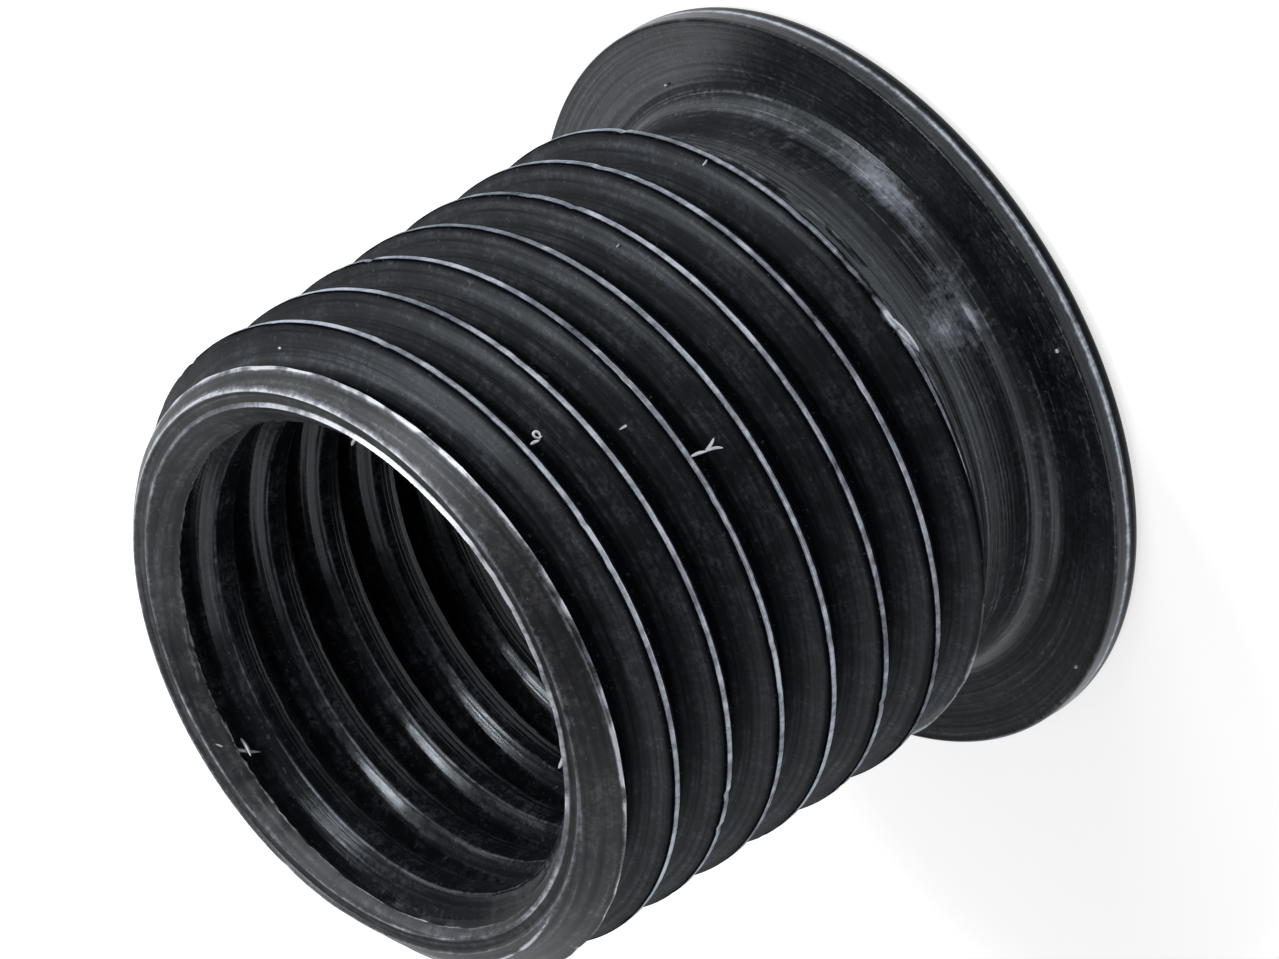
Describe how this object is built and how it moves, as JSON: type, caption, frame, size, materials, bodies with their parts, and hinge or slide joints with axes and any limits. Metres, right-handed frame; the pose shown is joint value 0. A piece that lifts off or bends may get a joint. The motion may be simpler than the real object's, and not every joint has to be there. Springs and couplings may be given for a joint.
{
  "type": "flanged thread insert",
  "caption": "Short flanged steel sleeve with a fine thread outside and inside, screwed into a worn plug hole to give it a new thread.",
  "frame": {"origin": "centre of the flange's outer face, which the part stands on", "axes": "+Z along the bore towards the threaded nose, with X and Y across the flange"},
  "size_m": [0.0136, 0.0136, 0.012],
  "materials": {
    "black_steel": "black oxide, worn to bare metal on the crests and edges"
  },
  "bodies": {
    "root": {"threaded_insert": "black_steel"}
  },
  "joints": []
}
